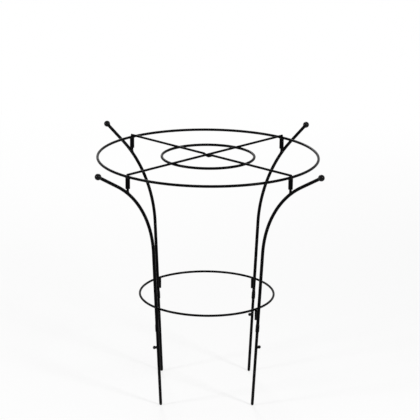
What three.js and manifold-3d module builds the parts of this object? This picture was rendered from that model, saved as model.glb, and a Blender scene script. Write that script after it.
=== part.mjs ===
// Grow-through plant support for a clump of tall flowers.
// A wire grid lies over the young plant and the stems grow up through it. Four bent tube legs carry
// the grid on pegs, a lower hoop drops its pins into a socket on each leg, and a stake plugs into the
// foot of each leg and goes into the soil.
// Millimetres and degrees, +Z up, the ground at zero and the axis of the hoops at the origin.

import * as THREE from 'three';
import { mergeVertices } from 'three/addons/utils/BufferGeometryUtils.js';
import Module from 'manifold-3d';

const wasm = await Module();
wasm.setup();

// Gaps between pieces that touch
const weldGap = 0.3;
const seatGap = 0.3;

// Tools that cut: how far each runs past the piece, and the width of the block that trims the stakes
const cutOverrun = 5;
const trimBlockWidth = 20;

// Grid that the stems grow through
const gridHeight = 515;
const gridHoopRadius = 228.6;
const gridHoopWire = 5.6;
const innerRingRadius = 95.8;
const innerRingWire = 5.6;
const crossBarWire = 4.8;
const crossBarOverhang = 1.8;
const weldSetDown = 1;
const joggleHalfLength = 14;

// Sleeves under the grid's hoop, and the pegs that they drop over
const sleeveDiameter = 9.4;
const sleeveBore = 6.1;
const sleeveLegGap = 2;
const sleeveRiseShare = 0.6;
const sleeveChamfer = 1.2;
const pegDiameter = 5.2;
const pegChamfer = 0.8;

// Legs: a straight leaning stretch from a foot inside the grid's hoop, one bend outward under that hoop
// and a straight arm up to a finial outside and above it
const footInset = 92.7;
const legLean = 3.6;
const legBendRadius = 200;
const armRise = 30.1;
const finialOverhang = 79.4;
const finialRise = 15;
const legDiameter = 6.8;
const legWall = 1;

// Swaged socket at the foot of each leg
const swageHeight = 167;
const swageLength = 13.5;
const swageTaper = 9;
const swageWall = 0.75;

// Ball finial at the end of each arm
const finialDiameter = 13.4;
const spigotLength = 9;
const spigotClearance = 0.25;

// Lower hoop, its pins, and the sockets that stand on the legs just above the swage
const lowerHoopWire = 4.8;
const pinDiameter = 3.2;
const pinTipClearance = 1;
const pinChamfer = 0.5;
const ringSocketDiameter = 5.2;
const ringSocketBore = 3.8;
const ringSocketRise = 2.6;
const ringSocketLength = 21;
const ringSocketChamfer = 0.35;

// Stakes, and the ball-ended stub on each below the swage
const stakeDiameter = 6.2;
const stakeClearance = 0.2;
const stakeTipDiameter = 4;
const stakeTipLength = 2.8;
const stubDrop = 35.6;
const stubReach = 7.4;
const stubBallDiameter = 7.2;
const stubNeckDiameter = 5.4;

// A leg stands under each end of both cross bars. A stake turns freely in its socket, so each stub has
// a turn of its own, measured from straight outward.
const upperBarAzimuth = 45;
const lowerBarAzimuth = -45;
const corners = [
  { name: 'front_left', azimuth: upperBarAzimuth - 180, stubTurn: -42 },
  { name: 'front_right', azimuth: lowerBarAzimuth, stubTurn: 75 },
  { name: 'back_right', azimuth: upperBarAzimuth, stubTurn: 175 },
  { name: 'back_left', azimuth: lowerBarAzimuth + 180, stubTurn: -25 },
];

// Facets
const gridHoopSteps = 72;
const innerRingSteps = 48;
const lowerHoopSteps = 64;
const hoopSides = 10;
const ringSides = 8;
const barSides = 10;
const tubeSides = 12;
const ballSides = 16;
const ballSteps = 8;
const stubSides = 12;
const stubSteps = 6;
const bendSteps = 13;
const joggleSteps = 12;

// Finish: one black powder coat over everything, a little glossier on the balls
const powderCoat = { color: 0x17171a, roughness: 0.42, metalness: 0.3 };
const ballCoat = { color: 0x121214, roughness: 0.25, metalness: 0.35 };

const radians = THREE.MathUtils.degToRad;

// Solids

// A closed mesh as a solid: vertices merged, and the flat triangles at a pole dropped
function solidOf(geometry) {
  const bare = geometry.clone();
  bare.deleteAttribute('normal');
  bare.deleteAttribute('uv');
  const merged = mergeVertices(bare);
  const corner = merged.index.array;
  const kept = [];
  for (let i = 0; i < corner.length; i += 3) {
    const [a, b, c] = [corner[i], corner[i + 1], corner[i + 2]];
    if (a !== b && b !== c && c !== a) kept.push(a, b, c);
  }
  return new wasm.Manifold(new wasm.Mesh({
    numProp: 3,
    vertProperties: new Float32Array(merged.attributes.position.array),
    triVerts: new Uint32Array(kept),
  }));
}

function geometryOf(solid) {
  const mesh = solid.getMesh();
  const geometry = new THREE.BufferGeometry();
  geometry.setAttribute('position', new THREE.BufferAttribute(mesh.vertProperties, mesh.numProp));
  geometry.setIndex(new THREE.BufferAttribute(mesh.triVerts, 1));
  geometry.computeVertexNormals();
  return geometry;
}

function cut(geometry, ...tools) {
  return geometryOf(tools.reduce((solid, tool) => solid.subtract(solidOf(tool)), solidOf(geometry)));
}

function disc(radius, sides) {
  const shape = new THREE.Shape();
  for (let i = 0; i < sides; i += 1) {
    const angle = (i / sides) * 2 * Math.PI;
    const corner = [radius * Math.cos(angle), radius * Math.sin(angle)];
    if (i === 0) shape.moveTo(...corner);
    else shape.lineTo(...corner);
  }
  shape.closePath();
  return shape;
}

// A path through given stations, one step of the extrusion from each to the next, so that a straight
// stretch costs a single step
class StationPath extends THREE.Curve {
  constructor(stations) {
    super();
    this.stations = stations;
  }

  get steps() {
    return this.stations.length - 1;
  }

  getUtoTmapping(u) {
    return u;
  }

  getPoint(t, target = new THREE.Vector3()) {
    const place = t * this.steps;
    const index = Math.min(Math.floor(place), this.steps - 1);
    return target.lerpVectors(this.stations[index], this.stations[index + 1], place - index);
  }

  getTangent(t, target = new THREE.Vector3()) {
    const index = Math.round(t * this.steps);
    const here = this.stations[index];
    target.set(0, 0, 0);
    if (index > 0) target.add(here.clone().sub(this.stations[index - 1]).normalize());
    if (index < this.steps) target.add(this.stations[index + 1].clone().sub(here).normalize());
    return target.normalize();
  }
}

function rodAlong(path, radius, sides) {
  return new THREE.ExtrudeGeometry(disc(radius, sides), {
    steps: path.steps,
    curveSegments: 1,
    extrudePath: path,
  });
}

// A turned piece on the Z axis from [radius, height] pairs
function turned(profile, sides) {
  const points = profile.map(([radius, height]) => new THREE.Vector2(radius, height));
  return new THREE.LatheGeometry(points, sides).rotateX(Math.PI / 2);
}

// A turned tube on the Z axis, with its outer edges broken at the foot and the head
function turnedTube(outer, inner, foot, head, footChamfer, headChamfer) {
  return turned([
    [inner, foot],
    [outer - footChamfer, foot],
    [outer, foot + footChamfer],
    [outer, head - headChamfer],
    [outer - headChamfer, head],
    [inner, head],
    [inner, foot],
  ], tubeSides);
}

// A ball on the Z axis with a round stem under it: a half circle and a straight stem
function ballOnStem(ballRadius, stemRadius, stemEnd, centre, sides, steps) {
  const start = Math.asin(stemRadius / ballRadius);
  const arc = Array.from({ length: steps + 1 }, (_, i) => {
    const angle = start + ((Math.PI - start) * i) / steps;
    const radius = i === steps ? 0 : ballRadius * Math.sin(angle);
    return [radius, centre - ballRadius * Math.cos(angle)];
  });
  return turned([[0, stemEnd], [stemRadius, stemEnd], ...arc], sides);
}

function hoop(radius, wire, sides, steps) {
  return new THREE.TorusGeometry(radius, wire / 2, sides, steps);
}

// The leg's line, in the upright plane of one leg: x is the distance from the axis of the hoops

const footRadius = gridHoopRadius - footInset;
const finialCentre = new THREE.Vector3(gridHoopRadius + finialOverhang, 0, gridHeight + finialRise);
const lean = radians(legLean);
const arm = radians(90 - armRise);
const alongLeg = new THREE.Vector3(Math.sin(lean), 0, Math.cos(lean));
const alongArm = new THREE.Vector3(Math.sin(arm), 0, Math.cos(arm));

// Distance from the axis of the leg's straight stretch at a height
const legRadiusAt = (height) => footRadius + height * Math.tan(lean);
const onLeg = (height) => new THREE.Vector3(legRadiusAt(height), 0, height);

// The straight stretch and the arm, each run on, meet at this corner
const cornerHeight = (finialCentre.z - (finialCentre.x - footRadius) / Math.tan(arm))
  / (1 - Math.tan(lean) / Math.tan(arm));
const bendCorner = onLeg(cornerHeight);
const tangentLength = legBendRadius * Math.tan((arm - lean) / 2);
const bendStart = bendCorner.clone().addScaledVector(alongLeg, -tangentLength);
const bendCentre = bendStart.clone().add(
  new THREE.Vector3(legBendRadius * Math.cos(lean), 0, -legBendRadius * Math.sin(lean)),
);

function bendPoint(angle, outside = 0) {
  return new THREE.Vector3(-Math.cos(angle), 0, Math.sin(angle))
    .multiplyScalar(legBendRadius + outside)
    .add(bendCentre);
}

// Height of the leg's line at a distance from the axis, on the bend or on the arm, or of a line that
// runs beside it on the upper side
function legHeightAt(radius, outside = 0) {
  const bendEnd = bendPoint(arm, outside);
  if (radius > bendEnd.x) return bendEnd.z + (radius - bendEnd.x) / Math.tan(arm);
  return bendPoint(Math.acos((bendCentre.x - radius) / (legBendRadius + outside)), outside).z;
}

function legPath(startHeight, endBeforeFinial) {
  const bend = Array.from({ length: bendSteps + 1 }, (_, i) => (
    bendPoint(lean + ((arm - lean) * i) / bendSteps)
  ));
  const end = finialCentre.clone().addScaledVector(alongArm, -endBeforeFinial);
  return new StationPath([onLeg(startHeight), ...bend, end]);
}

// Sizes that follow from the ones above
const legRadius = legDiameter / 2;
const legBoreRadius = legRadius - legWall;
const finialRadius = finialDiameter / 2;
const tubeEndBeforeFinial = Math.sqrt(finialRadius ** 2 - legBoreRadius ** 2) + weldGap;
const swageBoreRadius = stakeDiameter / 2 + stakeClearance;
const swageRadius = swageBoreRadius + swageWall;
const crossBarHeight = gridHeight + (gridHoopWire + crossBarWire) / 2 - weldSetDown;
const innerRingHeight = crossBarHeight - (innerRingWire + crossBarWire) / 2 + weldSetDown;
const swageEnd = swageHeight + swageLength + swageTaper;
const stubHeight = swageHeight - stubDrop;
const ringSocketFoot = swageEnd + ringSocketRise;
const ringSocketHead = ringSocketFoot + ringSocketLength;
const lowerHoopHeight = ringSocketHead + seatGap + lowerHoopWire / 2;
const lowerHoopRadius = legRadiusAt(ringSocketFoot) - legRadius / Math.cos(lean) - weldGap
  - ringSocketDiameter / 2;

// Grid: one hoop, one ring inside it and two bars that cross on top of both

function gridHoopGeometry() {
  return hoop(gridHoopRadius, gridHoopWire, hoopSides, gridHoopSteps).translate(0, 0, gridHeight);
}

function innerRingGeometry() {
  return hoop(innerRingRadius, innerRingWire, ringSides, innerRingSteps).translate(0, 0, innerRingHeight);
}

// The space that a welded piece leaves round the hoop, and round the ring
function gridHoopSpace() {
  return hoop(gridHoopRadius, gridHoopWire + 2 * weldGap, hoopSides, gridHoopSteps)
    .translate(0, 0, gridHeight);
}

function innerRingSpace() {
  return hoop(innerRingRadius, innerRingWire + 2 * weldGap, ringSides, innerRingSteps)
    .translate(0, 0, innerRingHeight);
}

const crossBarEnd = gridHoopRadius + crossBarOverhang;

function straightBar(wire) {
  const path = new StationPath([
    new THREE.Vector3(-crossBarEnd, 0, crossBarHeight),
    new THREE.Vector3(crossBarEnd, 0, crossBarHeight),
  ]);
  return rodAlong(path, wire / 2, barSides);
}

// The lower bar dips under the upper one in a cosine joggle
function joggledBar() {
  const dip = crossBarWire - weldSetDown;
  const middle = Array.from({ length: joggleSteps + 1 }, (_, i) => {
    const share = (2 * i) / joggleSteps - 1;
    const drop = (dip * (1 + Math.cos(Math.PI * share))) / 2;
    return new THREE.Vector3(share * joggleHalfLength, 0, crossBarHeight - drop);
  });
  const path = new StationPath([
    new THREE.Vector3(-crossBarEnd, 0, crossBarHeight),
    ...middle,
    new THREE.Vector3(crossBarEnd, 0, crossBarHeight),
  ]);
  return rodAlong(path, crossBarWire / 2, barSides);
}

function upperBarGeometry() {
  return cut(straightBar(crossBarWire), gridHoopSpace(), innerRingSpace());
}

function lowerBarGeometry() {
  const upperBarSpace = straightBar(crossBarWire + 2 * weldGap).rotateZ(Math.PI / 2);
  return cut(joggledBar(), gridHoopSpace(), innerRingSpace(), upperBarSpace);
}

// Tube coped round the underside of the hoop, which ends just above the bend of the leg
function sleeveGeometry() {
  const head = gridHeight - (1 - sleeveRiseShare) * (gridHoopWire / 2);
  const foot = legHeightAt(gridHoopRadius + sleeveDiameter / 2, legRadius) + sleeveLegGap;
  const tube = turnedTube(sleeveDiameter / 2, sleeveBore / 2, foot, head, sleeveChamfer, 0);
  return cut(tube.translate(gridHoopRadius, 0, 0), gridHoopSpace());
}

// Legs

// Swaged end on the leaning line: a wider tube that tapers into the leg, bored for the stake
function swageOutside() {
  const shoulder = swageLength + swageTaper;
  return turned([
    [0, 0],
    [swageRadius, 0],
    [swageRadius, swageLength],
    [legBoreRadius, shoulder],
    [0, shoulder],
  ], tubeSides);
}

function swageInside() {
  return turned([
    [0, -cutOverrun],
    [swageBoreRadius, -cutOverrun],
    [swageBoreRadius, swageLength],
    [0, swageLength],
  ], tubeSides);
}

const ontoLeg = (geometry, height) => {
  const foot = onLeg(height);
  return geometry.rotateY(lean).translate(foot.x, 0, foot.z);
};

function legTubeGeometry() {
  const tubeStart = swageHeight + swageLength * Math.cos(lean);
  const outside = rodAlong(legPath(tubeStart, tubeEndBeforeFinial), legRadius, tubeSides);
  const bore = rodAlong(legPath(swageHeight, finialRadius - legRadius), legBoreRadius, tubeSides);
  const solid = solidOf(outside).add(solidOf(ontoLeg(swageOutside(), swageHeight)));
  return geometryOf(solid
    .subtract(solidOf(bore))
    .subtract(solidOf(ontoLeg(swageInside(), swageHeight))));
}

// The ball has a spigot that fills the open end of the tube
function finialGeometry() {
  const spigotEnd = -tubeEndBeforeFinial - spigotLength;
  return ballOnStem(finialRadius, legBoreRadius - spigotClearance, spigotEnd, 0, ballSides, ballSteps)
    .rotateY(arm)
    .translate(finialCentre.x, 0, finialCentre.z);
}

// The peg stands on the bent tube, coped to it, and ends just under the grid's hoop
function pegGeometry() {
  const foot = legHeightAt(gridHoopRadius);
  const head = gridHeight - gridHoopWire / 2 - seatGap;
  const radius = pegDiameter / 2;
  const rod = turned([
    [0, foot],
    [radius, foot],
    [radius, head - pegChamfer],
    [radius - pegChamfer, head],
    [0, head],
  ], tubeSides);
  const legSpace = rodAlong(legPath(swageHeight, tubeEndBeforeFinial), legRadius + weldGap, tubeSides);
  return cut(rod.translate(gridHoopRadius, 0, 0), legSpace);
}

function ringSocketGeometry() {
  return turnedTube(
    ringSocketDiameter / 2,
    ringSocketBore / 2,
    ringSocketFoot,
    ringSocketHead,
    ringSocketChamfer,
    ringSocketChamfer,
  ).translate(lowerHoopRadius, 0, 0);
}

// Lower hoop

function lowerHoopGeometry() {
  return hoop(lowerHoopRadius, lowerHoopWire, ringSides, lowerHoopSteps).translate(0, 0, lowerHoopHeight);
}

function pinGeometry() {
  const foot = ringSocketFoot + pinTipClearance;
  const radius = pinDiameter / 2;
  const rod = turned([
    [0, foot],
    [radius - pinChamfer, foot],
    [radius, foot + pinChamfer],
    [radius, lowerHoopHeight],
    [0, lowerHoopHeight],
  ], tubeSides);
  const hoopSpace = hoop(lowerHoopRadius, lowerHoopWire + 2 * weldGap, ringSides, lowerHoopSteps);
  return cut(rod.translate(lowerHoopRadius, 0, 0), hoopSpace.translate(0, 0, lowerHoopHeight));
}

// Stakes

// A leaning rod with a tapered tip, cut off level with the ground
function stakeGeometry() {
  const radius = stakeDiameter / 2;
  const tip = stakeTipDiameter / 2;
  const head = (swageHeight / Math.cos(lean)) + swageLength - seatGap;
  const rod = turned([
    [0, -cutOverrun],
    [tip, -cutOverrun],
    [tip, 0],
    [radius, stakeTipLength],
    [radius, head],
    [0, head],
  ], tubeSides);
  const trimBlock = new THREE.BoxGeometry(trimBlockWidth, trimBlockWidth, trimBlockWidth);
  return cut(ontoLeg(rod, 0), trimBlock.translate(footRadius, 0, -trimBlockWidth / 2));
}

// A short neck with a ball on its end, coped to the stake, pointing along the turn given
function stubGeometry(turn) {
  const ball = stubBallDiameter / 2;
  const neck = stubNeckDiameter / 2;
  const stub = ballOnStem(ball, neck, 0, stubReach, stubSides, stubSteps).rotateY(Math.PI / 2);
  const stakeSpace = new THREE.CylinderGeometry(
    stakeDiameter / 2 + weldGap,
    stakeDiameter / 2 + weldGap,
    2 * stubReach,
    tubeSides,
  ).rotateX(Math.PI / 2);
  return ontoLeg(cut(stub.rotateZ(radians(turn)), stakeSpace), stubHeight);
}

// Assembly

const support = new THREE.Group();

function place(parent, name, geometry, coat = powderCoat) {
  const mesh = new THREE.Mesh(geometry, new THREE.MeshStandardMaterial(coat));
  mesh.name = name;
  parent.add(mesh);
}

const grid = new THREE.Group();
place(grid, 'grid_hoop', gridHoopGeometry());
place(grid, 'grid_inner_ring', innerRingGeometry());
place(grid, 'grid_upper_bar', upperBarGeometry().rotateZ(radians(upperBarAzimuth)));
place(grid, 'grid_lower_bar', lowerBarGeometry().rotateZ(radians(lowerBarAzimuth)));
support.add(grid);

place(support, 'lower_hoop', lowerHoopGeometry());

for (const { name, azimuth, stubTurn } of corners) {
  const corner = new THREE.Group();
  corner.rotation.z = radians(azimuth);
  place(corner, `grid_sleeve_${name}`, sleeveGeometry());
  place(corner, `leg_tube_${name}`, legTubeGeometry());
  place(corner, `finial_ball_${name}`, finialGeometry(), ballCoat);
  place(corner, `grid_peg_${name}`, pegGeometry());
  place(corner, `ring_socket_${name}`, ringSocketGeometry());
  place(corner, `ring_pin_${name}`, pinGeometry());
  place(corner, `stake_${name}`, stakeGeometry());
  place(corner, `stop_stub_${name}`, stubGeometry(stubTurn), ballCoat);
  support.add(corner);
}

export default support;
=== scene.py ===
"""Grow-through plant support: the looks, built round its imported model.

Every piece is a surface worked out from the sizes below, in metres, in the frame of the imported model.
A corner of the support is worked out in its own upright plane, with x pointing straight outward, and is
then turned to the azimuth of that corner.
"""

import math

import bpy
import numpy as np
from mathutils import Matrix, Vector


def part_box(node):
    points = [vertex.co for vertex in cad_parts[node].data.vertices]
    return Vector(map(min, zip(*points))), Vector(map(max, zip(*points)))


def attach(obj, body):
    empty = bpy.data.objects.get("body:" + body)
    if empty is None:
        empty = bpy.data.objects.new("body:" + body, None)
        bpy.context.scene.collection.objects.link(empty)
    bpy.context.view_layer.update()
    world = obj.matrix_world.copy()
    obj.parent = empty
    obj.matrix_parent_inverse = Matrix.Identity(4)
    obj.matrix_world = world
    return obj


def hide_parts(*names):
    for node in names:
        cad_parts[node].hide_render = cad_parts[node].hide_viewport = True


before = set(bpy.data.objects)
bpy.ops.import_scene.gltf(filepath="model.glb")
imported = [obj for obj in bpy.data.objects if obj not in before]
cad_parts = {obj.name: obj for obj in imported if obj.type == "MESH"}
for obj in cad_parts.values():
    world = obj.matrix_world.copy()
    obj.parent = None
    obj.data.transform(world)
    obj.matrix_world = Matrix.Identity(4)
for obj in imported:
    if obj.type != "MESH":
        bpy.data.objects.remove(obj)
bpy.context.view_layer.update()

bl_info = {
    "name": "Plant support",
    "version": (1, 0, 0),
    "blender": (4, 5, 0),
    "location": "View3D > Sidebar > Plant support",
    "description": "A wire grid on four bent tube legs, with a hoop between them and a stake in each",
    "category": "Add Mesh",
}

# Azimuth of each corner, and how far its stake's stub is turned from straight outward, in degrees
CORNERS = {
    "front_left": (-135, -42),
    "front_right": (-45, 75),
    "back_right": (45, 175),
    "back_left": (135, -25),
}
GRID_BODY = "grid_unit"
LOWER_HOOP_BODY = "lower_hoop_unit"

# Azimuths of the two cross bars, in degrees
UPPER_BAR_TURN = 45
LOWER_BAR_TURN = -45

# Diameters of the wires that are bent into hoops, in metres
HOOP_WIRE = 0.0056
RING_WIRE = 0.0056
LOWER_WIRE = 0.0048

# How far along both sides the edges of a piece are eased, in metres
WIRE_EASE = 0.0006
RIM_EASE = 0.0004
PEG_EASE = 0.0008
SLEEVE_EASE = 0.0012
SWAGE_EASE = 0.003

# The most of a side's length that an ease takes, and the points on its arc
MOST_EASED = 0.45
EASE_STEPS = 5

# Facets round each section
WIRE_SIDES = 28
TUBE_SIDES = 40
BEAD_SIDES = 16
BALL_SIDES = 56

# Stations round each hoop, and the azimuth of its butt weld in radians
HOOP_ROUND = (360, 1.9)
RING_ROUND = (240, 2.1)
LOWER_ROUND = (280, 2.0)

# How far a wire swells at its butt weld, in metres
JOINT_RISE = 0.00012

# The longest step along each piece, in metres
BAR_STEP = 0.004
JOGGLE_STEP = 0.0007
LEG_STEP = 0.005
STAKE_STEP = 0.01

# Points on a ball's arc, on the lines where two pieces meet, and on a bead round one or up a seam
BALL_STEPS = 30
MEETING_POINTS = 180
COLLAR_POINTS = 120
SLEEVE_POINTS = 40
BEAD_STATIONS = 84
SEAM_STATIONS = 140

# Each kind of weld: the radius of its bead as a share of the usual one, and the seed of its ripples at
# the first corner
WELDS = {
    "bar": (1.0, 0),
    "ring": (0.85, 10),
    "sleeve": (1.0, 20),
    "centre": (0.75, 40),
    "pin": (1 / 3, 60),
    "peg": (1.0, 80),
    "ball": (0.8, 100),
    "socket": (1.0, 120),
    "stub": (0.7, 140),
}

# Length of one ripple of a weld bead, in bead radii, how few ripples a closed bead has, the mean of a
# rectified sine, and the depth of the slow swell as a share of the ripples' depth
RIPPLE_LENGTH = 1.3
FEWEST_RIPPLES = 4
RIPPLE_MEAN = 2 / math.pi
SWELL = 0.6

# A seam beside a socket: bead radii from the upright plane of its leg, how much of the gap its radius
# takes, and how many ripples go by for each radian of its slow swell
SEAM_ASIDE = 1.5
SEAM_FILL = 1 / 3
SEAM_SLOWNESS = 4


# Sizes and finishes that a user would change

def low(node):
    """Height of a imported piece's lowest point."""
    return float(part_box(node)[0][2])


def high(node):
    """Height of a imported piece's highest point."""
    return float(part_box(node)[1][2])


def level(node):
    """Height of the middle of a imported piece."""
    return (low(node) + high(node)) / 2


def reach(node):
    """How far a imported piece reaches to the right."""
    return float(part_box(node)[1][0])


def length(name, description, default):
    return bpy.props.FloatProperty(
        name=name, description=description, default=default, min=0.0, unit="LENGTH", precision=5)


def angle(name, description, degrees):
    return bpy.props.FloatProperty(
        name=name, description=description, default=math.radians(degrees), subtype="ANGLE")


def share(name, description, default):
    return bpy.props.FloatProperty(
        name=name, description=description, default=default, min=0.0, max=1.0, subtype="FACTOR")


def colour(name, description, default):
    return bpy.props.FloatVectorProperty(
        name=name, description=description, default=default, min=0.0, max=1.0, subtype="COLOR")


class SupportSizes(bpy.types.PropertyGroup):
    """Sizes of the pieces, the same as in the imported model."""

    grid_height: length("Grid height", "Height of the big hoop's wire", level("grid_hoop"))
    hoop_radius: length("Hoop radius", "Radius of the big hoop", reach("grid_hoop") - HOOP_WIRE / 2)
    hoop_wire: length("Hoop wire", "Diameter of the big hoop's wire", HOOP_WIRE)
    ring_radius: length("Ring radius", "Radius of the ring inside it",
                        reach("grid_inner_ring") - RING_WIRE / 2)
    ring_wire: length("Ring wire", "Diameter of that ring's wire", RING_WIRE)
    bar_wire: length("Bar wire", "Diameter of the cross bars", 0.0048)
    bar_overhang: length("Bar overhang", "How far a bar runs past the hoop", 0.0018)
    set_down: length("Set-down", "How far a weld lets one wire into the next", 0.001)
    joggle: length("Joggle", "Half the length of the lower bar's dip", 0.014)

    sleeve: length("Sleeve", "Diameter of the sleeves under the hoop", 0.0094)
    sleeve_bore: length("Sleeve bore", "Bore of the sleeves", 0.0061)
    sleeve_foot: length("Sleeve foot", "Height at which the sleeves end", low("grid_sleeve_front_left"))
    sleeve_head: length("Sleeve head", "Height at which they meet the hoop", high("grid_sleeve_front_left"))
    peg: length("Peg", "Diameter of the pegs in the sleeves", 0.0052)
    gap: length("Gap", "Room between the ends of pieces that touch", 0.0003)

    foot_inset: length("Foot inset", "How far the feet stand inside the hoop", 0.0927)
    leg_lean: angle("Leg lean", "Lean of the straight part of a leg", 3.6)
    leg_bend: length("Leg bend", "Radius of the bend in a leg", 0.2)
    arm_rise: angle("Arm rise", "Rise of the arm above level", 30.1)
    finial_overhang: length("Finial overhang", "How far the balls stand outside the hoop", 0.0794)
    finial_rise: length("Finial rise", "How far the balls stand above the hoop", 0.015)
    finial: length("Finial", "Diameter of the balls", 0.0134)
    spigot: length("Spigot", "Length of the plug behind each ball", 0.009)
    spigot_gap: length("Spigot gap", "Room round that plug in the tube", 0.00025)
    leg: length("Leg", "Diameter of the leg tube", 0.0068)
    leg_wall: length("Leg wall", "Wall of the leg tube", 0.001)
    swage_height: length("Swage height", "Height at which the leg tube ends", 0.167)
    swage_length: length("Swage length", "Depth of the socket for the stake", 0.0135)
    swage_taper: length("Swage taper", "Length over which the swage narrows", 0.0035)
    swage: length("Swage", "Diameter of the swaged foot of the leg", 0.0081)
    swage_bore: length("Swage bore", "Bore of the swaged foot of the leg", 0.0066)

    lower_height: length("Lower hoop height", "Height of the lower hoop's wire", level("lower_hoop"))
    lower_radius: length("Lower hoop radius", "Radius of the lower hoop",
                         reach("lower_hoop") - LOWER_WIRE / 2)
    lower_wire: length("Lower hoop wire", "Diameter of the lower hoop's wire", LOWER_WIRE)
    socket: length("Socket", "Diameter of the sockets for the lower hoop", 0.0052)
    socket_bore: length("Socket bore", "Bore of those sockets", 0.0038)
    socket_foot: length("Socket foot", "Height at which they begin", low("ring_socket_front_left"))
    socket_head: length("Socket head", "Height at which they end", high("ring_socket_front_left"))
    pin: length("Pin", "Diameter of the lower hoop's pins", 0.0032)
    pin_foot: length("Pin foot", "Height at which those pins end", low("ring_pin_front_left"))

    stake: length("Stake", "Diameter of the stakes", 0.0062)
    stake_tip: length("Stake tip", "Diameter of the stakes' blunt tips", 0.004)
    stake_taper: length("Stake taper", "Length of the taper to the tip", 0.0028)
    stub_height: length("Stub height", "Height of the stub on each stake", 0.1314)
    stub_reach: length("Stub reach", "From the stake's middle to the stub ball's middle", 0.0074)
    stub_ball: length("Stub ball", "Diameter of the ball on each stub", 0.0072)
    stub_neck: length("Stub neck", "Diameter of the neck behind that ball", 0.0054)


class SupportFinish(bpy.types.PropertyGroup):
    """Colour and gloss of the powder coat, and the look of the welds under it."""

    coat: colour("Coat", "Colour of the powder coat", (0.0018, 0.0018, 0.0021))
    thin_coat: colour("Thin coat", "Colour where the coat thins over an edge", (0.03, 0.028, 0.027))
    coat_shine: share("Coat shine", "Specular level of the coat on wires and tubes", 0.02)
    ball_shine: share("Ball shine", "Specular level of the coat on the balls", 0.1)
    coat_roughness: share("Coat roughness", "Roughness of the coat on wires and tubes", 0.2)
    ball_roughness: share("Ball roughness", "Roughness of the coat on the balls", 0.12)
    weld_roughness: share("Weld roughness", "Roughness of the coat on the weld beads", 0.25)
    stake_roughness: share("Stake roughness", "Roughness of the coat on the stakes", 0.3)
    stake_dulling: share("Stake dulling", "Roughness that scuffs add at the stakes' tips", 0.3)
    orange_peel: length("Orange peel", "Height of the coat's ripples", 0.000035)
    bead: length("Weld bead", "Radius of the weld beads", 0.0009)
    weld_ripple: share("Weld ripple", "Depth of the beads' ripples, as a share of their radius", 0.1)


# Surfaces

def rounded(corners, radius):
    """A profile of (along, radius) corners, each corner but the first and the last eased by an arc.

    The arc is the parabola that touches both sides of the corner at the same distance from it, which is
    one number for all or one for each corner. With it comes a mask that is 1 in the middle of a square
    corner's arc and 0 at its ends.
    """
    corners = np.asarray(corners, float)
    at, before, after = corners[1:-1], corners[:-2] - corners[1:-1], corners[2:] - corners[1:-1]
    room_before = np.linalg.norm(before, axis=1, keepdims=True)
    room_after = np.linalg.norm(after, axis=1, keepdims=True)
    ease = np.minimum(np.reshape(radius, (-1, 1)), MOST_EASED * np.minimum(room_before, room_after))
    before, after = before / room_before, after / room_after
    turn = np.arccos(np.clip(-(before * after).sum(1), -1, 1)) / (math.pi / 2)
    t = np.linspace(0, 1, EASE_STEPS)[None, :, None]
    start, end = (at + ease * before)[:, None], (at + ease * after)[:, None]
    arcs = (1 - t) ** 2 * start + 2 * t * (1 - t) * at[:, None] + t ** 2 * end
    edge = (4 * t * (1 - t))[..., 0] * np.minimum(turn, 1)[:, None]
    profile = np.concatenate((corners[:1], arcs.reshape(-1, 2), corners[-1:]))
    return profile[:, 0], profile[:, 1], np.concatenate(([0], edge.ravel(), [0]))


def rounded_loop(corners, radius):
    """The same for a profile that closes on itself, as the wall of a tube does, all corners eased."""
    corners = np.asarray(corners, float)
    s, r, edge = rounded(np.concatenate((corners[-1:], corners, corners[:1])), radius)
    return s[1:-1], r[1:-1], edge[1:-1]


def finer(profile, step):
    """A profile with more stations, none further than a step from the next, and no corner lost."""
    values = np.stack(profile, axis=1)
    run = np.concatenate(([0], np.cumsum(np.linalg.norm(np.diff(values[:, :2], axis=0), axis=1))))
    more = np.union1d(run, np.arange(0, run[-1], step))
    return tuple(np.interp(more, run, column) for column in values.T)


def carried(line, profile, sides):
    """A round section carried along a line.

    At each distance along it stands a circle square to the line, with the radius that the profile gives:
    point = centre + radius * (cos v * side + sin v * across).
    """
    s, r, edge = profile
    centre, side, across = line(s)
    v = np.linspace(0, 2 * np.pi, sides, endpoint=False)[None, :, None]
    grid = centre[:, None] + r[:, None, None] * (np.cos(v) * side[:, None] + np.sin(v) * across[:, None])
    return grid, edge


def rows(count, *vector):
    return np.tile(np.asarray(vector, float), (count, 1))


def upright(x):
    """A line straight up at a distance x from the axis."""
    def line(s):
        centre = np.stack((np.full_like(s, x), np.zeros_like(s), s), axis=1)
        return centre, rows(len(s), 1, 0, 0), rows(len(s), 0, 1, 0)
    return line


def slanted(start, along):
    """A straight line in the upright plane from a point, along a unit vector."""
    start, along = np.asarray(start, float), np.asarray(along, float)
    def line(s):
        side = np.array((along[2], 0, -along[0]))
        return start + s[:, None] * along, rows(len(s), *side), rows(len(s), 0, 1, 0)
    return line


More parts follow.
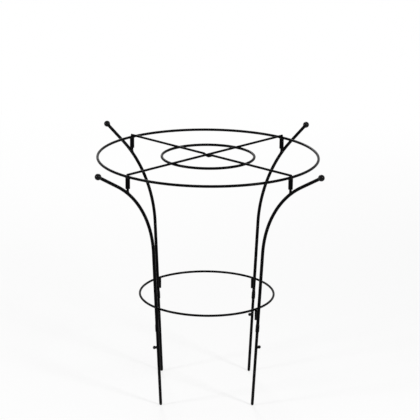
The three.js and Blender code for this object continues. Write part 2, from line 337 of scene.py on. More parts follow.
class LegLine:
    """The middle of a leg: a straight stretch that leans, a circular arc and a straight arm.

    The lean line through the foot and the arm line through the ball meet at a corner. The arc touches
    both at bend radius * tan(half the turn) from it.
    """

    def __init__(self, sizes):
        self.lean = sizes.leg_lean
        self.arm = math.pi / 2 - sizes.arm_rise
        self.bend = sizes.leg_bend
        self.foot = sizes.hoop_radius - sizes.foot_inset
        self.ball = np.array((sizes.hoop_radius + sizes.finial_overhang, 0,
                              sizes.grid_height + sizes.finial_rise))
        corner = ((self.ball[2] - (self.ball[0] - self.foot) / math.tan(self.arm))
                  / (1 - math.tan(self.lean) / math.tan(self.arm)))
        self.straight = corner / math.cos(self.lean) - self.bend * math.tan((self.arm - self.lean) / 2)
        self.arc = self.bend * (self.arm - self.lean)
        start = self.point_on_lean(self.straight)
        self.centre = start + self.bend * np.array((math.cos(self.lean), 0, -math.sin(self.lean)))
        end = self.centre + self.bend * np.array((-math.cos(self.arm), 0, math.sin(self.arm)))
        self.length = self.straight + self.arc + np.linalg.norm(self.ball - end)

    def point_on_lean(self, s):
        return np.array((self.foot + s * math.sin(self.lean), 0, s * math.cos(self.lean)))

    def __call__(self, s):
        """Centre, side and across vectors at each distance from the foot."""
        turned = np.clip((s - self.straight) / self.bend, 0, self.arm - self.lean)
        a = self.lean + turned
        on_arc = self.centre + self.bend * np.stack((-np.cos(a), np.zeros_like(a), np.sin(a)), axis=1)
        beyond = np.maximum(s - self.straight - self.arc, 0) + np.minimum(s - self.straight, 0)
        along = np.stack((np.sin(a), np.zeros_like(a), np.cos(a)), axis=1)
        side = np.stack((np.cos(a), np.zeros_like(a), -np.sin(a)), axis=1)
        return on_arc + beyond[:, None] * along, side, rows(len(s), 0, 1, 0)

    def slope_at(self, x):
        """Angle of the arc from upright, at a distance x from the axis of the hoops."""
        return math.acos((self.centre[0] - x) / self.bend)

    def height_at(self, x):
        return self.centre[2] + self.bend * math.sin(self.slope_at(x))


def wire_hoop(radius, height, wire, stations, joint):
    """A wire of round section carried round a level circle, a little thicker at its butt weld.

    radius of the wire = half the wire + rise * exp(-(distance from the joint / half a wire) squared).
    """
    u = np.linspace(0, 2 * np.pi, stations, endpoint=False)
    away = radius * (np.mod(u - joint + np.pi, 2 * np.pi) - np.pi)
    r = wire / 2 + JOINT_RISE * np.exp(-(away / (wire / 2)) ** 2)
    outward = np.stack((np.cos(u), np.sin(u), np.zeros_like(u)), axis=1)
    v = np.linspace(0, 2 * np.pi, WIRE_SIDES, endpoint=False)[None, :, None]
    grid = radius * outward[:, None] + r[:, None, None] * (
        np.cos(v) * outward[:, None] - np.sin(v) * np.array((0, 0, 1)))
    return grid + np.array((0, 0, height)), np.zeros(stations)


def ball_profile(ball, neck, start, end):
    """A round neck and then a circle's arc: radius = ball radius * sin(angle), up to the pole."""
    first = math.asin(neck / ball)
    a = np.linspace(first, np.pi, BALL_STEPS)
    s = np.concatenate(([start, start], end - ball * np.cos(a)))
    r = np.concatenate(([0, neck], ball * np.sin(a)))
    r[-1] = 0
    return s, r, np.zeros_like(s)


def evenly(loop, stations):
    """A closed line through points, sampled again at even distances."""
    closed = np.concatenate((loop, loop[:1]))
    run = np.concatenate(([0], np.cumsum(np.linalg.norm(np.diff(closed, axis=0), axis=1))))
    even = np.linspace(0, run[-1], stations, endpoint=False)
    return np.stack([np.interp(even, run, closed[:, k]) for k in range(3)], axis=1)


def softened(loop, passes):
    """A closed line whose points are each moved to the mean of themselves and their neighbours."""
    for _ in range(passes):
        loop = (np.roll(loop, 1, axis=0) + 2 * loop + np.roll(loop, -1, axis=0)) / 4
    return loop


def bead_round(loop, kind, look, count=0):
    """A weld bead of one kind carried round a closed line.

    Its section swells and shrinks by a rectified sine, a ripple at a time, and slowly by a sum of three
    sines whose places come from the seed: r = radius * (1 + ripple * (waves + slow swell)).
    """
    part, seed = WELDS[kind]
    radius, ripple = part * look.bead, look.weld_ripple
    loop = softened(evenly(loop, BEAD_STATIONS), 2)
    around = np.linalg.norm(np.roll(loop, -1, axis=0) - loop, axis=1).sum()
    t = np.linspace(0, 2 * np.pi, BEAD_STATIONS, endpoint=False)
    phase = np.random.default_rng(seed + count).uniform(0, 2 * np.pi, 4)
    ripples = max(FEWEST_RIPPLES, round(around / radius / RIPPLE_LENGTH))
    waves = np.abs(np.sin(ripples * t / 2 + phase[0])) - RIPPLE_MEAN
    slow = sum(np.sin((k + 1) * t + phase[k + 1]) / (k + 2) for k in range(3))
    r = radius * (1 + ripple * (waves + SWELL * slow))
    along = np.roll(loop, -1, axis=0) - np.roll(loop, 1, axis=0)
    along /= np.linalg.norm(along, axis=1, keepdims=True)
    side = loop - loop.mean(0)
    side -= (side * along).sum(1, keepdims=True) * along
    side /= np.linalg.norm(side, axis=1, keepdims=True)
    across = np.cross(along, side)
    v = np.linspace(0, 2 * np.pi, BEAD_SIDES, endpoint=False)[None, :, None]
    grid = loop[:, None] + r[:, None, None] * (np.cos(v) * side[:, None] + np.sin(v) * across[:, None])
    return grid, np.zeros(BEAD_STATIONS)


def post_on_tube(post, tube, slope=0.0):
    """Line where an upright post's surface meets a tube that passes under it, in the post's own frame.

    On the tube's top: z = x * tan(slope) + sqrt(tube squared - y squared) / cos(slope).
    """
    a = np.linspace(0, 2 * np.pi, MEETING_POINTS, endpoint=False)
    x, y = post * np.cos(a), post * np.sin(a)
    top = np.sqrt(np.maximum(tube ** 2 - y ** 2, 0)) / math.cos(slope)
    return np.stack((x, y, x * math.tan(slope) + top), axis=1)


def wires_crossing(under, over, apart):
    """Line where two square-crossed wires meet, the lower one along y and the upper one along x.

    At each angle the distance from the middle is halved down to where the lower wire's top,
    sqrt(under squared - x squared), is as high as the upper wire's underside,
    apart - sqrt(over squared - y squared).
    """
    a = np.linspace(0, 2 * np.pi, MEETING_POINTS, endpoint=False)
    halvings, farthest = 40, 1.4 * min(under, over)
    near, far = np.zeros_like(a), np.full_like(a, farthest)
    for _ in range(halvings):
        middle = (near + far) / 2
        x, y = middle * np.cos(a), middle * np.sin(a)
        top = np.sqrt(np.maximum(under ** 2 - x ** 2, 0))
        underside = apart - np.sqrt(np.maximum(over ** 2 - y ** 2, 0))
        met = top > underside
        near, far = np.where(met, middle, near), np.where(met, far, middle)
    x, y = near * np.cos(a), near * np.sin(a)
    return np.stack((x, y, np.sqrt(np.maximum(under ** 2 - x ** 2, 0))), axis=1)


def skin(grid, closed):
    """Vertices and faces over rings of points, each ring joined to the next and closed on itself.

    The last ring joins the first where closed. Otherwise both are poles and become one point each.
    """
    rings, sides = grid.shape[:2]
    if closed:
        index = np.arange(rings * sides).reshape(rings, sides)
        index = np.concatenate((index, index[:1]))
        points = grid.reshape(-1, 3)
        fans = []
    else:
        index = 1 + np.arange((rings - 2) * sides).reshape(rings - 2, sides)
        points = np.concatenate((grid[0, :1], grid[1:-1].reshape(-1, 3), grid[-1, :1]))
        first, last = index[0], index[-1]
        top = np.full(sides, len(points) - 1)
        fans = np.concatenate((
            np.stack((np.zeros(sides, int), np.roll(first, -1), first), axis=1),
            np.stack((last, np.roll(last, -1), top), axis=1),
        )).tolist()
    ahead = np.roll(index, -1, axis=1)
    quads = np.stack((index[:-1], ahead[:-1], ahead[1:], index[1:]), axis=-1).reshape(-1, 4)
    return points, quads.tolist() + fans


def turned_to(points, degrees):
    """Points turned about the upright axis of the hoops."""
    a = math.radians(degrees)
    turn = np.array(((math.cos(a), -math.sin(a), 0), (math.sin(a), math.cos(a), 0), (0, 0, 1)))
    return points @ turn.T


def piece(name, surface, body, kind, closed=False, azimuth=0.0, stands_for=None):
    """Makes one object from a surface, gives it its kind of coat and lets it ride on its body."""
    grid, edge = surface
    points, faces = skin(turned_to(grid, azimuth), closed)
    mesh = bpy.data.meshes.new(name)
    mesh.from_pydata(points.tolist(), [], faces)
    mesh.shade_smooth()
    sides = grid.shape[1]
    spread = np.repeat(edge, sides) if closed else np.concatenate(
        (edge[:1], np.repeat(edge[1:-1], sides), edge[-1:]))
    mesh.attributes.new("edge", "FLOAT", "POINT").data.foreach_set("value", spread.astype(np.float32))
    thing = bpy.data.objects.new(name, mesh)
    bpy.context.scene.collection.objects.link(thing)
    slot, material = coat(kind)
    mesh.materials.append(material)
    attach(thing, body)
    if stands_for:
        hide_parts(stands_for)


# Finishes

# Noises of the coat's skin: cells per metre and octaves. Grain lies in the orange peel, the gloss drifts,
# the coat is thin in patches and the stakes are scuffed in streaks.
GRAIN = (2600.0, 2.0)
DRIFT = (55.0, 3.0)
PATCHES = (900.0, 3.0)
STREAKS = (1400.0, 2.0)
PEEL_OCTAVES = 1.0

# The grain's share of the peel's height, how strong the patches are, how far the streaks are drawn out
# upright, the noise values where they begin and are full, and their share of the scuffs, which end at
# a height in metres
GRAIN_SHARE = 0.22
PATCH_STRENGTH = 1.6
STREAK_STRETCH = 0.04
STREAK_EDGES = (0.4, 0.65)
STREAK_SHARE = 0.7
SCUFF_HEIGHT = 0.11

# Each coat: its slot in the record, the height of its orange peel as a share of the height that the user
# sets, the peel's cells per metre, and how far its roughness strays
COATS = {
    "wire": ("powder_coat", 1.0, 420.0, 0.2),
    "tube": ("powder_coat", 1.0, 360.0, 0.24),
    "weld": ("powder_coat", 2.0, 700.0, 0.4),
    "ball": ("ball_coat", 0.6, 300.0, 0.12),
    "stake": ("stake_coat", 1.0, 420.0, 0.3),
}
COAT_IOR = 1.5

# The materials of the coats, once the first piece has asked for one
MATERIALS = {}


def feed(node, values):
    """Sets a shader node's sockets, each by name or place, to a value or to another node's output."""
    for socket, value in values.items():
        if isinstance(value, bpy.types.NodeSocket):
            node.id_data.links.new(value, node.inputs[socket])
        else:
            node.inputs[socket].default_value = value


def new_node(tree, kind, values, **settings):
    """Makes a shader node with its settings, feeds it and returns its outputs."""
    node = tree.nodes.new(f"ShaderNode{kind}")
    for name, value in settings.items():
        setattr(node, name, value)
    feed(node, values)
    return node.outputs


def math_node(tree, operation, *values):
    return new_node(tree, "Math", dict(enumerate(values)), operation=operation)["Value"]


def coat_surface_group():
    """Shader node group for the skin of a powder coat.

    Height, the orange peel, is a coarse noise and a share of a fine one added together. Roughness drifts
    about its middle value with a slow noise. Thin is a mask of thin coat, the edge attribute times a
    patchy noise. Low down, noise drawn out into upright streaks adds the dulling to both.
    """
    group = bpy.data.node_groups.new("coat_surface", "ShaderNodeTree")
    for name in ("Roughness", "Peel Scale", "Drift", "Dulling"):
        group.interface.new_socket(name=name, in_out="INPUT", socket_type="NodeSocketFloat")
    for name in ("Height", "Roughness", "Thin"):
        group.interface.new_socket(name=name, in_out="OUTPUT", socket_type="NodeSocketFloat")
    given = group.nodes.new("NodeGroupInput").outputs
    place = new_node(group, "TexCoord", {})["Object"]

    def noise(scale, octaves, vector=place):
        return new_node(group, "TexNoise", {"Vector": vector, "Scale": scale, "Detail": octaves})["Fac"]

    def ramp(value, start, end):
        """0 up to the start and 1 from the end on, or the other way round where the end is lower."""
        return new_node(group, "MapRange", {"Value": value, "From Min": start, "From Max": end})["Result"]

    peel = noise(given["Peel Scale"], PEEL_OCTAVES)
    height = math_node(group, "MULTIPLY_ADD", noise(*GRAIN), GRAIN_SHARE, peel)

    stretched = new_node(group, "VectorMath", {0: place, 1: (1.0, 1.0, STREAK_STRETCH)},
                         operation="MULTIPLY")["Vector"]
    streaks = ramp(noise(*STREAKS, stretched), *STREAK_EDGES)
    low_down = ramp(new_node(group, "SeparateXYZ", {"Vector": place})["Z"], SCUFF_HEIGHT, 0.0)
    streaky = math_node(group, "MULTIPLY_ADD", streaks, STREAK_SHARE, 1 - STREAK_SHARE)
    scuffs = math_node(group, "MULTIPLY", low_down, streaky)
    dulled = math_node(group, "MULTIPLY", scuffs, given["Dulling"])

    edge = new_node(group, "Attribute", {}, attribute_name="edge")["Fac"]
    patches = math_node(group, "MULTIPLY", noise(*PATCHES), PATCH_STRENGTH)
    thin = math_node(group, "MULTIPLY_ADD", edge, patches, dulled)

    centred = math_node(group, "SUBTRACT", noise(*DRIFT), 0.5)
    rough = math_node(group, "MULTIPLY_ADD", centred, given["Drift"], given["Roughness"])
    feed(group.nodes.new("NodeGroupOutput"), {
        "Height": height,
        "Roughness": math_node(group, "ADD", rough, dulled),
        "Thin": thin,
    })
    return group


def coat_material(kind, group, look, shine, roughness, dulling=0.0):
    """A black powder coat: a dark plastic skin with orange peel, a little thinner on edges."""
    _, peel, peel_scale, drift = COATS[kind]
    material = bpy.data.materials.new(f"{kind}_coat")
    material.use_nodes = True
    tree = material.node_tree
    surface = new_node(tree, "Group", {
        "Roughness": roughness,
        "Peel Scale": peel_scale,
        "Drift": drift,
        "Dulling": dulling,
    }, node_tree=group)
    tint = new_node(tree, "Mix", {
        "Factor": surface["Thin"],
        "A": (*look.coat, 1),
        "B": (*look.thin_coat, 1),
    }, data_type="RGBA")
    bump = new_node(tree, "Bump", {
        "Strength": 1.0,
        "Distance": peel * look.orange_peel,
        "Height": surface["Height"],
    })
    feed(tree.nodes["Principled BSDF"], {
        "Base Color": tint["Result"],
        "Metallic": 0.0,
        "Roughness": surface["Roughness"],
        "IOR": COAT_IOR,
        "Specular IOR Level": shine,
        "Normal": bump["Normal"],
    })
    return material


def coat(kind):
    """The record's slot of a coat, and its material. All the materials are made the first time."""
    if not MATERIALS:
        look = bpy.context.scene.support_finish
        group = coat_surface_group()
        wire, ball = look.coat_shine, look.ball_shine
        MATERIALS["wire"] = coat_material("wire", group, look, wire, look.coat_roughness)
        MATERIALS["tube"] = coat_material("tube", group, look, wire, look.coat_roughness)
        MATERIALS["weld"] = coat_material("weld", group, look, ball, look.weld_roughness)
        MATERIALS["ball"] = coat_material("ball", group, look, ball, look.ball_roughness)
        MATERIALS["stake"] = coat_material(
            "stake", group, look, wire, look.stake_roughness, look.stake_dulling)
    return COATS[kind][0], MATERIALS[kind]


# Pieces

class SUPPORT_OT_grid(bpy.types.Operator):
    """Make the grid: the hoop, the ring in it, two crossed bars, four sleeves and their welds"""

    bl_idname = "support.grid"
    bl_label = "Grid"

    def execute(self, context):
        sizes, look = context.scene.support_sizes, context.scene.support_finish
        bar = sizes.bar_wire / 2
        bar_height = sizes.grid_height + sizes.hoop_wire / 2 + bar - sizes.set_down
        ring_height = bar_height - bar - sizes.ring_wire / 2 + sizes.set_down
        bar_end = sizes.hoop_radius + sizes.bar_overhang
        dip = sizes.bar_wire - sizes.set_down

        piece("hoop_wire",
              wire_hoop(sizes.hoop_radius, sizes.grid_height, sizes.hoop_wire, *HOOP_ROUND),
              GRID_BODY, "wire", closed=True, stands_for="grid_hoop")
        piece("ring_wire", wire_hoop(sizes.ring_radius, ring_height, sizes.ring_wire, *RING_ROUND),
              GRID_BODY, "wire", closed=True, stands_for="grid_inner_ring")

        def bar_line(depth):
            """A level line along x that dips by half of depth * (1 + cos) over the joggle."""
            def line(s):
                inside = np.clip(s / sizes.joggle, -1, 1)
                z = bar_height - depth * (1 + np.cos(np.pi * inside)) / 2
                fall = depth * np.pi / (2 * sizes.joggle) * np.sin(np.pi * inside)
                norm = np.sqrt(1 + fall ** 2)
                none = np.zeros_like(s)
                return (np.stack((s, none, z), axis=1), rows(len(s), 0, 1, 0),
                        np.stack((-fall / norm, none, 1 / norm), axis=1))
            return line

        ends = rounded([(-bar_end, 0), (-bar_end, bar), (bar_end, bar), (bar_end, 0)], WIRE_EASE)
        piece("upper_bar", carried(bar_line(0.0), finer(ends, BAR_STEP), WIRE_SIDES),
              GRID_BODY, "wire", azimuth=UPPER_BAR_TURN, stands_for="grid_upper_bar")
        piece("lower_bar", carried(bar_line(dip), finer(ends, JOGGLE_STEP), WIRE_SIDES),
              GRID_BODY, "wire", azimuth=LOWER_BAR_TURN, stands_for="grid_lower_bar")

        middle = wires_crossing(bar, bar, bar * 2 - sizes.set_down) + (0, 0, bar_height - dip)
        piece("centre_weld", bead_round(middle, "centre", look), GRID_BODY, "weld", closed=True,
              azimuth=UPPER_BAR_TURN)

        sleeve = sizes.sleeve / 2
        wall = [(sizes.sleeve_foot, sleeve), (sizes.sleeve_head, sleeve),
                (sizes.sleeve_head, sizes.sleeve_bore / 2), (sizes.sleeve_foot, sizes.sleeve_bore / 2)]
        for count, (corner, (azimuth, _)) in enumerate(CORNERS.items()):
            piece(f"sleeve_{corner}",
                  carried(upright(sizes.hoop_radius), rounded_loop(wall, SLEEVE_EASE), TUBE_SIDES),
                  GRID_BODY, "tube", closed=True, azimuth=azimuth, stands_for=f"grid_sleeve_{corner}")
            at_hoop = wires_crossing(sizes.hoop_wire / 2, bar, bar_height - sizes.grid_height)
            at_ring = wires_crossing(sizes.ring_wire / 2, bar, bar_height - ring_height)
            for kind, loop in (
                ("bar", at_hoop + (sizes.hoop_radius, 0, sizes.grid_height)),
                ("ring", at_ring + (sizes.ring_radius, 0, ring_height)),
                ("sleeve", self.round_the_hoop(sizes)),
            ):
                piece(f"{kind}_weld_{corner}", bead_round(loop, kind, look, count), GRID_BODY, "weld",
                      closed=True, azimuth=azimuth)
        return {"FINISHED"}

    @staticmethod
    def round_the_hoop(sizes):
        """Line where a sleeve meets the hoop: along both sides of the wire on the sleeve's rim, and
        under the wire at z = -sqrt(wire squared - x squared), on the sleeve's wall."""
        sleeve, wire = sizes.sleeve / 2, sizes.hoop_wire / 2
        rim = sizes.sleeve_head - sizes.grid_height
        half = math.sqrt(wire ** 2 - rim ** 2)
        x = np.linspace(half, -half, SLEEVE_POINTS)
        y = np.sqrt(sleeve ** 2 - x ** 2)
        z = -np.sqrt(wire ** 2 - x ** 2)
        far = np.stack((x, y, z), axis=1)
        loop = np.concatenate((far, far * (-1, -1, 1)))
        return loop + (sizes.hoop_radius, 0, sizes.grid_height)


class SUPPORT_OT_lower_hoop(bpy.types.Operator):
    """Make the lower hoop and the pins under it"""

    bl_idname = "support.lower_hoop"
    bl_label = "Lower hoop"

    def execute(self, context):
        sizes, look = context.scene.support_sizes, context.scene.support_finish
        radius = sizes.lower_radius
        piece("lower_hoop_wire", wire_hoop(radius, sizes.lower_height, sizes.lower_wire, *LOWER_ROUND),
              LOWER_HOOP_BODY, "wire", closed=True, stands_for="lower_hoop")
        pin = sizes.pin / 2
        rod = rounded([(sizes.pin_foot, 0), (sizes.pin_foot, pin), (sizes.lower_height, pin),
                       (sizes.lower_height, 0)], WIRE_EASE)
        for count, (corner, (azimuth, _)) in enumerate(CORNERS.items()):
            piece(f"pin_{corner}", carried(upright(radius), rod, WIRE_SIDES),
                  LOWER_HOOP_BODY, "wire", azimuth=azimuth, stands_for=f"ring_pin_{corner}")
            under = post_on_tube(pin, sizes.lower_wire / 2)[::-1] * (1, 1, -1)
            piece(f"pin_weld_{corner}",
                  bead_round(under + (radius, 0, sizes.lower_height), "pin", look, count),
                  LOWER_HOOP_BODY, "weld", closed=True, azimuth=azimuth)
        return {"FINISHED"}


class SUPPORT_OT_legs(bpy.types.Operator):
    """Make the four legs: bent tube, ball, peg, socket and their welds"""

    bl_idname = "support.legs"
    bl_label = "Legs"

    def execute(self, context):
        sizes, look = context.scene.support_sizes, context.scene.support_finish
        line = LegLine(sizes)
        for count, (corner, (azimuth, _)) in enumerate(CORNERS.items()):
            body = f"leg_unit_{corner}"
            piece(f"leg_{corner}", self.tube(sizes, line), body, "tube", closed=True,
                  azimuth=azimuth, stands_for=f"leg_tube_{corner}")
            piece(f"ball_{corner}", self.finial(sizes, line), body, "ball",
                  azimuth=azimuth, stands_for=f"finial_ball_{corner}")
            piece(f"ball_weld_{corner}", bead_round(self.collar(sizes, look, line), "ball", look, count),
                  body, "weld", closed=True, azimuth=azimuth)
            piece(f"peg_{corner}", self.peg(sizes, line), body, "tube",
                  azimuth=azimuth, stands_for=f"grid_peg_{corner}")
            slope = math.pi / 2 - line.slope_at(sizes.hoop_radius)
            saddle = post_on_tube(sizes.peg / 2, sizes.leg / 2, slope)
            saddle += (sizes.hoop_radius, 0, line.height_at(sizes.hoop_radius))
            piece(f"peg_weld_{corner}", bead_round(saddle, "peg", look, count), body, "weld",
                  closed=True, azimuth=azimuth)
            piece(f"socket_{corner}", self.socket(sizes), body, "tube", closed=True,
                  azimuth=azimuth, stands_for=f"ring_socket_{corner}")
            for hand, name in ((-1, "right"), (1, "left")):
                piece(f"socket_weld_{name}_{corner}", self.seam(sizes, look, line, hand, count),
                      body, "weld", azimuth=azimuth)
        return {"FINISHED"}

    @staticmethod
    def tube(sizes, line):
        """The leg's tube: one wall, out along the outside and back through the bore."""
        outer, inner = sizes.leg / 2, sizes.leg / 2 - sizes.leg_wall
        foot = sizes.swage_height / math.cos(sizes.leg_lean)
        shoulder = foot + sizes.swage_length
        head = line.length - math.sqrt((sizes.finial / 2) ** 2 - inner ** 2) - sizes.gap
        wall = [(foot, sizes.swage / 2), (shoulder, sizes.swage / 2),
                (shoulder + sizes.swage_taper, outer), (head, outer), (head, inner),
                (shoulder, inner), (shoulder, sizes.swage_bore / 2), (foot, sizes.swage_bore / 2)]
        eased = [RIM_EASE] + 2 * [SWAGE_EASE] + 5 * [RIM_EASE]
        return carried(line, finer(rounded_loop(wall, eased), LEG_STEP), TUBE_SIDES)

    @staticmethod
    def finial(sizes, line):
        plug = sizes.leg / 2 - sizes.leg_wall - sizes.spigot_gap
        start = -sizes.finial / 2 - sizes.spigot
        along = (math.sin(line.arm), 0, math.cos(line.arm))
        profile = ball_profile(sizes.finial / 2, plug, start, 0.0)
        return carried(slanted(line.ball, along), profile, BALL_SIDES)

    @staticmethod
    def collar(sizes, look, line):
        """The line round the tube, a third of a bead back from where the ball meets it."""
        a = np.linspace(0, 2 * np.pi, COLLAR_POINTS, endpoint=False)
        back = math.sqrt((sizes.finial / 2) ** 2 - (sizes.leg / 2) ** 2) + look.bead / 3
        along = np.array((math.sin(line.arm), 0, math.cos(line.arm)))
        side = np.array((math.cos(line.arm), 0, -math.sin(line.arm)))
        ring = np.cos(a)[:, None] * side + np.sin(a)[:, None] * np.array((0, 1, 0))
        return line.ball - back * along + sizes.leg / 2 * ring

    @staticmethod
    def peg(sizes, line):
        peg = sizes.peg / 2
        foot = line.height_at(sizes.hoop_radius)
        head = sizes.grid_height - sizes.hoop_wire / 2 - sizes.gap
        rod = rounded([(foot, 0), (foot, peg), (head, peg), (head, 0)], PEG_EASE)
        return carried(upright(sizes.hoop_radius), rod, WIRE_SIDES)

    @staticmethod
    def socket(sizes):
        outer, inner = sizes.socket / 2, sizes.socket_bore / 2
        foot, head = sizes.socket_foot, sizes.socket_head
        wall = [(foot, outer), (head, outer), (head, inner), (foot, inner)]
        return carried(upright(sizes.lower_radius), rounded_loop(wall, RIM_EASE), TUBE_SIDES)

    @staticmethod
    def seam(sizes, look, line, hand, count):
        """A weld bead up the valley between a socket and its leg.

        The bead's middle stays half way between the two walls while the leg leans away. Its radius
        grows by a third of the gap and is drawn in at both ends like an ellipse.
        """
        part, seed = WELDS["socket"]
        bead = part * look.bead
        foot, head = sizes.socket_foot + bead, sizes.socket_head - bead
        z = np.linspace(foot, head, SEAM_STATIONS)
        wall = sizes.lower_radius + sizes.socket / 2
        gap = line.foot + z * math.tan(line.lean) - sizes.leg / 2 / math.cos(line.lean) - wall
        phase = np.random.default_rng(seed + count).uniform(0, 2 * np.pi, 2)
        ripples = (z - foot) / bead / RIPPLE_LENGTH
        waves = np.abs(np.sin(math.pi * ripples + phase[0])) - RIPPLE_MEAN
        slow = np.sin(ripples / SEAM_SLOWNESS + phase[1])
        radius = (bead + SEAM_FILL * gap) * (1 + look.weld_ripple * (waves + SWELL * slow))
        near_end = np.minimum(z - foot, head - z) / bead
        radius *= np.sqrt(np.clip(near_end * (2 - np.minimum(near_end, 1)), 0, 1))
        radius[0] = radius[-1] = 0
        centre = np.stack((wall + gap / 2, np.full_like(z, hand * SEAM_ASIDE * bead), z), axis=1)
        v = np.linspace(0, 2 * np.pi, BEAD_SIDES, endpoint=False)[None, :, None]
        grid = centre[:, None] + radius[:, None, None] * (
            np.cos(v) * np.array((1, 0, 0)) + np.sin(v) * np.array((0, 1, 0)))
        return grid, np.zeros(len(z))


class SUPPORT_OT_stakes(bpy.types.Operator):
    """Make the four stakes, each with a ball-ended stub on its side"""

    bl_idname = "support.stakes"
    bl_label = "Stakes"

    def execute(self, context):
        sizes, look = context.scene.support_sizes, context.scene.support_finish
        lean = sizes.leg_lean
        along = np.array((math.sin(lean), 0, math.cos(lean)))
        foot = np.array((sizes.hoop_radius - sizes.foot_inset, 0, 0))
        at = foot + np.array((sizes.stub_height * math.tan(lean), 0, sizes.stub_height))
        for count, (corner, (azimuth, stub_turn)) in enumerate(CORNERS.items()):
            body = f"stake_unit_{corner}"
            piece(f"stake_rod_{corner}", self.rod(sizes, foot, along), body, "stake",
                  azimuth=azimuth, stands_for=f"stake_{corner}")
            ball = ball_profile(sizes.stub_ball / 2, sizes.stub_neck / 2, 0.0, sizes.stub_reach)
            grid, edge = carried(upright(0.0), ball, TUBE_SIDES)
            piece(f"stub_{corner}", (self.aimed(grid, at, lean, stub_turn), edge), body, "ball",
                  azimuth=azimuth, stands_for=f"stop_stub_{corner}")
            saddle = post_on_tube(sizes.stub_neck / 2, sizes.stake / 2)
            grid, edge = bead_round(saddle, "stub", look, count)
            piece(f"stub_weld_{corner}", (self.aimed(grid, at, lean, stub_turn), edge), body, "weld",
                  closed=True, azimuth=azimuth)
        return {"FINISHED"}

    @staticmethod
    def rod(sizes, foot, along):
        """A leaning rod with a tapered tip. What lies below zero slides up along the rod to zero:
        point = point - along * height / (along's upward part)."""
        radius, tip = sizes.stake / 2, sizes.stake_tip / 2
        start = -tip * math.tan(sizes.leg_lean)
        head = sizes.swage_height / math.cos(sizes.leg_lean) + sizes.swage_length - sizes.gap
        profile = rounded([(start, 0), (start, tip), (sizes.stake_taper, radius), (head, radius),
                           (head, 0)], RIM_EASE)
        grid, edge = carried(slanted(foot, along), finer(profile, STAKE_STEP), TUBE_SIDES)
        below = np.minimum(grid[..., 2:], 0)
        return grid - below * along / along[2], edge

    @staticmethod
    def aimed(grid, at, lean, stub_turn):
        """Points of an upright stub laid level along x, turned about the stake and leant with it.

        x = height, y = y and z = -x lays it down. The turn is about the stake's own line.
        """
        laid = np.stack((grid[..., 2], grid[..., 1], -grid[..., 0]), axis=-1)
        turned = turned_to(laid, stub_turn)
        tilt = np.array(((math.cos(lean), 0, math.sin(lean)), (0, 1, 0),
                         (-math.sin(lean), 0, math.cos(lean))))
        return turned @ tilt.T + at


# Stage

CAMERA_LENS = 148.97
SENSOR = 36.0
CAMERA_DISTANCE = 3.6334
CAMERA_PITCH = math.radians(16.624)
CAMERA_YAW = math.radians(-0.084)
CAMERA_ROLL = math.radians(0.57)
OBJECT_TURN = math.radians(1.0)
AIM_HEIGHT = 0.39903

CLIP_END = 60.0

FLOOR_RADIUS = 12.0
FLOOR_SIDES = 96
FLOOR_DROP = 0.0002
LAMP_AIM = (0, 0, 0.25)

# Each lamp: its place, its diameter and its power
LAMPS = {
    "right_lamp": ((1.7, -1.7, 1.75), 0.5, 40.0),
    "left_lamp": ((-2.2, -1.0, 1.6), 0.5, 30.0),
    "back_lamp": ((-0.3, 2.3, 1.7), 0.7, 20.0),
}
WORLD_LIGHT = 0.4
FLOOR_COLOUR = 0.92
FLOOR_ROUGHNESS = 0.9
FLOOR_SHINE = 0.1

# How much of the floor is shown as plain white: the share near the support, which keeps its shadow, and
# the distances between which the share grows to all of it
FLOOR_WHITE_SHARE = 0.65
FLOOR_FADE = (0.6, 2.6)

WHITE = (1, 1, 1, 1)


def seen(tree):
    """A factor that is 1 for what the camera sees, straight or in gloss or glass, and 0 for other rays."""
    path = new_node(tree, "LightPath", {})
    factor = path["Is Camera Ray"]
    for ray in ("Is Glossy Ray", "Is Transmission Ray"):
        factor = math_node(tree, "MAXIMUM", factor, path[ray])
    return factor


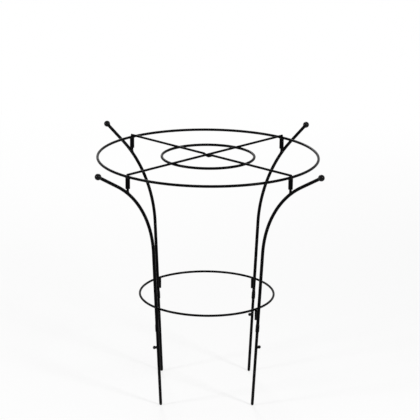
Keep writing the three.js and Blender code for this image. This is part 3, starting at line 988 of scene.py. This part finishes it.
class SUPPORT_OT_stage(bpy.types.Operator):
    """Set up the floor, the lamps, the world and the camera"""

    bl_idname = "support.stage"
    bl_label = "Stage"

    def execute(self, context):
        scene = context.scene
        scene.view_settings.view_transform = "Standard"
        self.floor(scene)
        self.world(scene)
        for name, (place, size, power) in LAMPS.items():
            self.lamp(scene, name, place, size, power)
        self.camera(scene)
        return {"FINISHED"}

    @staticmethod
    def floor(scene):
        """A level disc, wide enough to fill the picture behind the support, and whiter farther out."""
        a = np.linspace(0, 2 * np.pi, FLOOR_SIDES, endpoint=False)
        points = np.stack((FLOOR_RADIUS * np.cos(a), FLOOR_RADIUS * np.sin(a),
                           np.full_like(a, -FLOOR_DROP)), axis=1)
        mesh = bpy.data.meshes.new("floor")
        mesh.from_pydata(points.tolist(), [], [list(range(len(points)))])
        floor = bpy.data.objects.new("floor", mesh)
        scene.collection.objects.link(floor)
        material = bpy.data.materials.new("pale_floor")
        material.use_nodes = True
        tree = material.node_tree
        matt = tree.nodes["Principled BSDF"]
        feed(matt, {
            "Base Color": (FLOOR_COLOUR, FLOOR_COLOUR, FLOOR_COLOUR, 1),
            "Roughness": FLOOR_ROUGHNESS,
            "Specular IOR Level": FLOOR_SHINE,
        })
        place = new_node(tree, "TexCoord", {})["Object"]
        near, far = FLOOR_FADE
        whiter = new_node(tree, "MapRange", {
            "Value": new_node(tree, "VectorMath", {0: place}, operation="LENGTH")["Value"],
            "From Min": near,
            "From Max": far,
            "To Min": FLOOR_WHITE_SHARE,
            "To Max": 1.0,
        }, interpolation_type="SMOOTHSTEP")["Result"]
        mix = new_node(tree, "MixShader", {
            "Fac": math_node(tree, "MULTIPLY", seen(tree), whiter),
            1: matt.outputs["BSDF"],
            2: new_node(tree, "Emission", {"Color": WHITE, "Strength": 1.0})["Emission"],
        })
        feed(tree.nodes["Material Output"], {"Surface": mix["Shader"]})
        mesh.materials.append(material)

    @staticmethod
    def world(scene):
        """White to the camera and in gloss, a soft grey to everything else."""
        world = bpy.data.worlds.new("studio")
        scene.world = world
        world.use_nodes = True
        tree = world.node_tree
        light = tree.nodes["Background"]
        feed(light, {"Color": WHITE, "Strength": WORLD_LIGHT})
        mix = new_node(tree, "MixShader", {
            "Fac": seen(tree),
            1: light.outputs["Background"],
            2: new_node(tree, "Background", {"Color": WHITE, "Strength": 1.0})["Background"],
        })
        feed(tree.nodes["World Output"], {"Surface": mix["Shader"]})

    @staticmethod
    def lamp(scene, name, place, size, power):
        data = bpy.data.lights.new(name, "AREA")
        data.shape = "DISK"
        data.size = size
        data.energy = power
        lamp = bpy.data.objects.new(name, data)
        scene.collection.objects.link(lamp)
        lamp.location = place
        toward = Vector(LAMP_AIM) - lamp.location
        lamp.rotation_euler = toward.to_track_quat("-Z", "Y").to_euler()

    @staticmethod
    def camera(scene):
        """A camera at the photo's angle. The support stands square, so the whole view turns instead."""
        data = bpy.data.cameras.new("camera")
        data.lens = CAMERA_LENS
        data.sensor_width = SENSOR
        data.clip_end = CLIP_END
        camera = bpy.data.objects.new("camera", data)
        scene.collection.objects.link(camera)
        place = Vector((0, -CAMERA_DISTANCE * math.cos(CAMERA_PITCH),
                        AIM_HEIGHT + CAMERA_DISTANCE * math.sin(CAMERA_PITCH)))
        aim = (Matrix.Rotation(CAMERA_YAW, 4, "Z")
               @ Matrix.Rotation(math.pi / 2 - CAMERA_PITCH, 4, "X")
               @ Matrix.Rotation(CAMERA_ROLL, 4, "Z"))
        turn = Matrix.Rotation(-OBJECT_TURN, 4, "Z")
        camera.matrix_world = turn @ Matrix.Translation(place) @ aim
        scene.camera = camera


class SUPPORT_PT_panel(bpy.types.Panel):
    """The steps that make the support, and its sizes and finish"""

    bl_label = "Plant support"
    bl_idname = "SUPPORT_PT_panel"
    bl_space_type = "VIEW_3D"
    bl_region_type = "UI"
    bl_category = "Plant support"

    def draw(self, context):
        for maker in MAKERS:
            self.layout.operator(maker.bl_idname)
        for group in (context.scene.support_sizes, context.scene.support_finish):
            box = self.layout.box()
            for name in group.bl_rna.properties.keys():
                if name not in {"rna_type", "name"}:
                    box.prop(group, name)


MAKERS = (
    SUPPORT_OT_grid,
    SUPPORT_OT_lower_hoop,
    SUPPORT_OT_legs,
    SUPPORT_OT_stakes,
    SUPPORT_OT_stage,
)
CLASSES = (SupportSizes, SupportFinish, *MAKERS, SUPPORT_PT_panel)


def register():
    for cls in CLASSES:
        bpy.utils.register_class(cls)
    bpy.types.Scene.support_sizes = bpy.props.PointerProperty(type=SupportSizes)
    bpy.types.Scene.support_finish = bpy.props.PointerProperty(type=SupportFinish)


def unregister():
    del bpy.types.Scene.support_finish
    del bpy.types.Scene.support_sizes
    for cls in reversed(CLASSES):
        bpy.utils.unregister_class(cls)


def main():
    register()
    bpy.ops.support.grid()
    bpy.ops.support.lower_hoop()
    bpy.ops.support.legs()
    bpy.ops.support.stakes()
    bpy.ops.support.stage()


if __name__ == "__main__":
    main()
